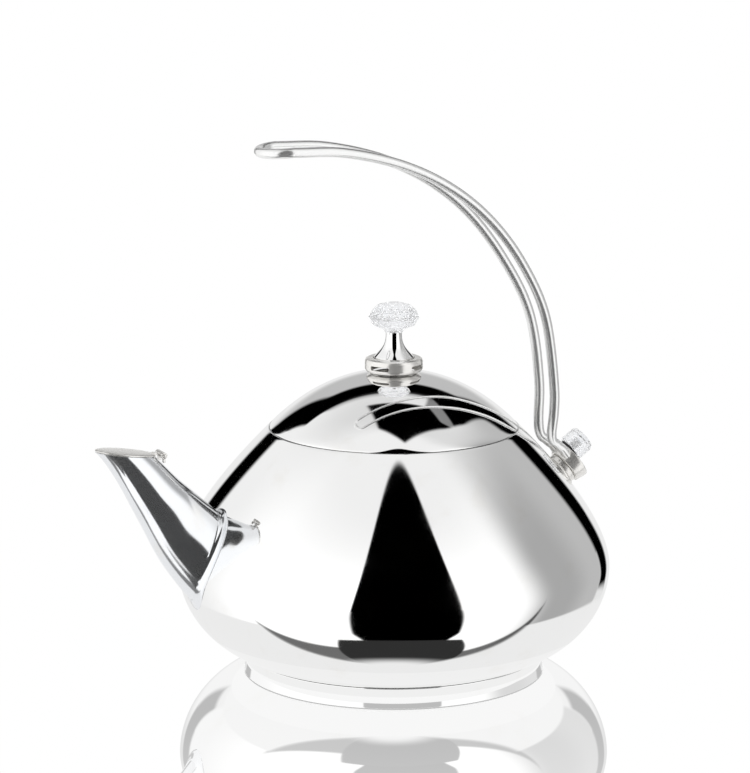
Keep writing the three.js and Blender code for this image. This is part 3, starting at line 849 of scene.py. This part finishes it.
# ---------- studio ----------
CAMERA_AZIMUTH = math.radians(-23.7)
CAMERA_ELEVATION = math.radians(11.82)
CAMERA_DISTANCE = 1814.9
CAMERA_TARGET = Vector((-8.5, 3.8, 138.1))
FLOOR_RADIUS = 6000
GLOSS_INNER, GLOSS_OUTER = 120, 500
FOOT_LIGHT_RADIUS = 92
FOOT_LIGHT = 0.9
TABLE_BRIGHTNESS = 0.86
BACKDROP_BRIGHTNESS = 0.85


def make_camera():
    forward = Vector((-math.sin(CAMERA_AZIMUTH) * math.cos(CAMERA_ELEVATION),
                      math.cos(CAMERA_AZIMUTH) * math.cos(CAMERA_ELEVATION), -math.sin(CAMERA_ELEVATION)))
    lens = bpy.data.cameras.new("camera")
    lens.lens = 170.6
    lens.sensor_width = 36
    lens.clip_end = 100
    camera = bpy.data.objects.new("camera", lens)
    camera.location = (CAMERA_TARGET - forward * CAMERA_DISTANCE) * MM
    camera.rotation_euler = forward.to_track_quat("-Z", "Y").to_euler()
    bpy.context.scene.collection.objects.link(camera)
    bpy.context.scene.camera = camera


def floor_material(name):
    """A material without the usual surface shader, its nodes and the input that takes another shader."""
    material, shader, nodes = new_material(name)
    material.node_tree.nodes.remove(shader)
    return material, nodes, material.node_tree.nodes["Material Output"].inputs["Surface"]


def glow(nodes, strength):
    return nodes.add("ShaderNodeEmission", 0, {"Color": (1, 1, 1, 1), "Strength": strength})


def lay_disc(name, material, radius, depth, seen_in_pot):
    bpy.ops.mesh.primitive_circle_add(vertices=128, radius=radius * MM, fill_type="NGON",
                                      location=(0, 0, -depth * MM))
    patch = bpy.context.object
    patch.name = name
    patch.data.materials.append(material)
    patch.visible_transmission = False
    patch.visible_glossy = seen_in_pot
    patch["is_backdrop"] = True


def make_floor():
    """A white floor, glossy near the pot, and a light patch under it that only the foot's mirror shows."""
    glossy, nodes, surface = floor_material("pale_floor")
    place = nodes.add("ShaderNodeTexCoord", "Object")
    distance = nodes.add("ShaderNodeVectorMath", "Value", {0: place}, operation="LENGTH")
    shine = nodes.step(distance, GLOSS_INNER * MM, GLOSS_OUTER * MM, 0.5, 0.0)
    mirror = nodes.add("ShaderNodeBsdfGlossy", 0, {"Color": (1, 1, 1, 1), "Roughness": 0.0})
    mixed = nodes.add("ShaderNodeMixShader", 0, {0: shine, 1: glow(nodes, 1.0), 2: mirror})
    nodes.tree.links.new(mixed, surface)
    plain, nodes, surface = floor_material("plain_floor")
    nodes.tree.links.new(glow(nodes, FOOT_LIGHT), surface)
    lay_disc("floor", glossy, FLOOR_RADIUS, 0.4, seen_in_pot=False)
    lay_disc("floor_middle", plain, FOOT_LIGHT_RADIUS, 0.8, seen_in_pot=True)


class Studio(Nodes):
    """Arithmetic on directions around the pot.

    Directions are taken from the pot: round is the angle from the camera's side in degrees, positive to its
    right, rise is the angle above the table, and away is round without its sign. On the plan, a direction lies
    as far from the centre as it is from straight up or straight down, with the horizon at 1; side runs to the
    right and near towards the camera.
    """

    def __init__(self, tree):
        super().__init__(tree)
        direction = self.add("ShaderNodeTexCoord", "Generated")
        seen_from_camera = self.add("ShaderNodeVectorRotate", 0,
                                    {"Vector": direction, "Angle": -CAMERA_AZIMUTH}, rotation_type="Z_AXIS")
        split = tree.nodes.new("ShaderNodeSeparateXYZ")
        tree.links.new(seen_from_camera, split.inputs[0])
        right, back, self.up = split.outputs
        degrees = 180 / math.pi
        self.round = self.times(self.math("ARCTAN2", right, self.times(back, -1.0)), degrees)
        self.rise = self.times(self.math("ARCSINE", self.up), degrees)
        self.away = self.math("ABSOLUTE", self.round)
        reach = self.without(self.math("DIVIDE", self.math("ABSOLUTE", self.rise), 90.0))
        flat = self.math("SQRT", self.plus(self.times(right, right), self.times(back, back)))
        self.side = self.times(reach, self.math("DIVIDE", right, flat))
        self.near = self.times(reach, self.math("DIVIDE", back, flat), -1.0)

    def times(self, *values):
        return values[0] if len(values) == 1 else self.math("MULTIPLY", values[0], self.times(*values[1:]))

    def plus(self, *values):
        return values[0] if len(values) == 1 else self.math("ADD", values[0], self.plus(*values[1:]))

    def most(self, first, second):
        return self.math("MAXIMUM", first, second)

    def without(self, value):
        return self.math("SUBTRACT", 1.0, value)

    def line(self, value, slope, base):
        """A value that changes evenly with another."""
        return self.plus(self.times(value, slope), base)

    def beyond(self, point, angle, soft=0.02):
        """1 on the far side of a straight edge on the plan; the angle is the way that the far side lies."""
        x, y = math.cos(math.radians(angle)), math.sin(math.radians(angle))
        across = self.plus(self.times(self.side, x), self.times(self.near, y))
        middle = point[0] * x + point[1] * y
        return self.step(across, middle - soft, middle + soft)

    def within(self, point, angle):
        """1 on the near side of a straight edge on the plan, whose outer side lies at the angle."""
        return self.without(self.beyond(point, angle, 0.012))

    def over(self, value, limit, soft=1):
        """1 where the value passes a limit that changes from place to place."""
        return self.step(self.plus(value, self.times(limit, -1.0)), -soft, soft)

    def behind(self):
        """The dark gaps behind the pot, either side of a pale backdrop."""
        either_side = self.most(self.step(self.round, 139, 143), self.step(self.round, -139, -143))
        return self.times(either_side, self.step(self.near, -0.35, -0.45))

    def softboxes(self):
        """White at the sides, the right one fading to grey at the back, and a dim reflector on top."""
        step, times = self.step, self.times
        right_grey = times(step(self.round, 62, 98), step(self.rise, 25, 65, 1.0, 0.35))
        right_fade = self.plus(step(right_grey, 0, 1, 1.12, 0.40), step(self.round, 104, 130, 0.0, 0.10))
        left_fade = step(times(self.round, -1.0), 80, 130, 1.0, 0.80)
        reflector = times(self.within((0, -0.272), -90), self.within((0, -0.40), 90),
                          step(self.side, -0.22, -0.08))
        top_fade = times(step(self.rise, 30, 65, 1.0, 0.80), step(reflector, 0, 1, 1.0, 0.45))
        return times(right_fade, left_fade, top_fade)

    def upper_gap(self):
        """The dark gap where the camera stands, coming to a rounded point overhead."""
        from_tip = self.plus(self.near, -0.164)
        off_middle = self.plus(self.side, self.times(self.near, -0.14), -0.0097)
        widening = self.plus(self.times(from_tip, self.line(from_tip, 0.22, 0.12)), 0.139)
        spare_width = self.plus(self.times(from_tip, widening), self.times(off_middle, off_middle, -1.0))
        return self.times(self.step(self.near, 0.15, 0.164), self.step(spare_width, -0.0015, 0.0015))

    def ceiling(self):
        """The dark ceiling seen between the tops of the softboxes, with a lamp shining through a slit in it."""
        within = self.within
        right_edge = self.times(within((0.067, 0.085), 46.9), within((0.34, -0.21), 26.6),
                                within((0.39, -0.4), 7.8))
        middle = self.times(within((-0.115, -0.15), 169.4), within((0.067, 0.085), 124.5),
                            within((0, -0.272), -90))
        arm = self.times(within((0.165, 0), 180), within((0.25, -0.55), 215.9), within((0, -0.2), 90))
        slit = self.times(within((0.288, -0.25), -35.3), within((0.229, -0.209), 144.7),
                          within((0, -0.165), 90))
        return self.times(self.most(middle, arm), right_edge, self.step(slit, 0, 1, 1.0, 0.7))

    def arch(self):
        """A dark arch over the backdrop, fading to the right."""
        edges = self.times(self.within((0, -0.41), 90), self.within((0, -0.575), -90),
                           self.within((-0.43, -0.45), 165))
        return self.times(edges, self.step(self.side, -0.28, -0.12, 1.0, 0.85),
                          self.step(self.side, 0.2, 0.3, 1.0, 0.0))

    def upper(self):
        """Everything above the table."""
        lit = self.times(self.softboxes(), self.without(self.upper_gap()), self.without(self.ceiling()),
                         self.without(self.arch()), self.without(self.behind()))
        backdrop = self.times(self.step(self.away, 154, 158), self.step(self.near, -0.56, -0.60),
                              self.step(self.rise, 2, 16, BACKDROP_BRIGHTNESS, 0.52))
        return self.plus(lit, backdrop)

    def table(self):
        """The white table, with its near edge just in front of the foot."""
        edge_rise = self.line(self.near, -18.0, -33.0)
        on_table = self.times(self.step(self.plus(self.rise, self.times(edge_rise, -1.0)), 1, -1),
                              self.without(self.beyond((0, 0.07), 90, 0.03)))
        under_foot = self.step(self.rise, -70, -83)
        return self.most(on_table, under_foot)

    def lower_gap(self):
        """The dark gap again below the horizon, with rounded lower corners."""
        corner = self.times(self.step(self.rise, -36, -48), 5.0)
        left = self.plus(self.times(self.rise, 0.05), corner, -22.4)
        right = self.plus(self.times(self.plus(self.times(self.rise, 0.085), corner), -1.0), 35.5)
        return self.times(self.over(self.round, left), self.without(self.over(self.round, right)),
                          self.step(self.rise, -48.0, -47.0))

    def lower_band(self):
        """The shaded front of the table, right under the gap."""
        left = self.line(self.rise, 0.61, -7.6)
        right = self.line(self.rise, -1.05, -4.1)
        return self.times(self.over(self.round, left), self.without(self.over(self.round, right)),
                          self.step(self.rise, -45.8, -46.6))

    def shaded_floor(self):
        """The dim floor between the softboxes and the table, left and right."""
        step, times = self.step, self.times
        left = times(self.without(self.beyond((-0.4, 0.2), 118)), step(self.near, 0.04, 0.08))
        right = times(self.without(self.beyond((0.5, 0.13), 80)), step(self.near, 0.04, 0.08))
        return self.most(times(left, step(self.round, 0, -1)), times(right, step(self.round, 0, 1)))

    def lower(self):
        """Everything below the horizon."""
        times, plus, without = self.times, self.plus, self.without
        table, band, behind = self.table(), self.lower_band(), self.behind()
        gap = self.most(self.lower_gap(), band)
        dark_behind = times(behind, self.step(self.away, 160, 155), self.step(self.rise, -19, -15))
        beside = times(self.softboxes(), without(gap), without(behind),
                       self.step(self.shaded_floor(), 0, 1, 1.0, 0.14))
        beside = plus(beside, times(behind, without(dark_behind), 0.8))
        backdrop = times(self.step(self.away, 153, 158), BACKDROP_BRIGHTNESS, behind)
        around = plus(times(self.most(beside, backdrop), without(table)), times(band, without(table), 0.03))
        return plus(times(table, TABLE_BRIGHTNESS), around)


def make_world():
    """White softboxes left, right and behind, dark gaps between them, and a white table underneath.

    The pot mirrors all of it. The camera sees plain white, and so do clear glass and the floor's mirror.
    """
    world = bpy.data.worlds.new("studio")
    bpy.context.scene.world = world
    world.use_nodes = True
    tree = world.node_tree
    tree.nodes.clear()
    studio = Studio(tree)
    mirrored = studio.plus(studio.times(studio.upper(), studio.step(studio.up, -0.001, 0.001)),
                           studio.times(studio.lower(), studio.step(studio.up, 0.001, -0.001)))
    lights = tree.nodes.new("ShaderNodeLightPath")
    plain = studio.most(lights.outputs["Is Camera Ray"], lights.outputs["Is Singular Ray"])
    strength = studio.plus(studio.times(plain, 1.0), studio.times(studio.without(plain), mirrored))
    background = studio.add("ShaderNodeBackground", 0, {"Color": (1.0, 1.0, 1.0, 1), "Strength": strength})
    output = tree.nodes.new("ShaderNodeOutputWorld")
    tree.links.new(background, output.inputs["Surface"])


def dress_fixings():
    """Gives the plain washers and nuts, which are shown as the CAD made them, the look of steel."""
    for node in ("bracket_washer", "bracket_nut", "knob_washer", "knob_nut"):
        materials = frame["nodes"][node].data.materials
        materials.clear()
        materials.append(FIXINGS[1])


make_camera()
make_world()
make_floor()
make_body()
make_foot()
make_mouth_ring()
make_spout()
make_cover()
make_hinge()
make_handle()
make_bracket()
make_button()
make_lid()
make_skirt()
make_cup()
make_neck()
make_crystal()
make_post()
dress_fixings()

bpy.context.scene.view_settings.view_transform = "Standard"
plain_box = lambda corners: [[float(value) for value in corner] for corner in corners]
{"cad": plain_box(cad_box), "visual": plain_box(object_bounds())}
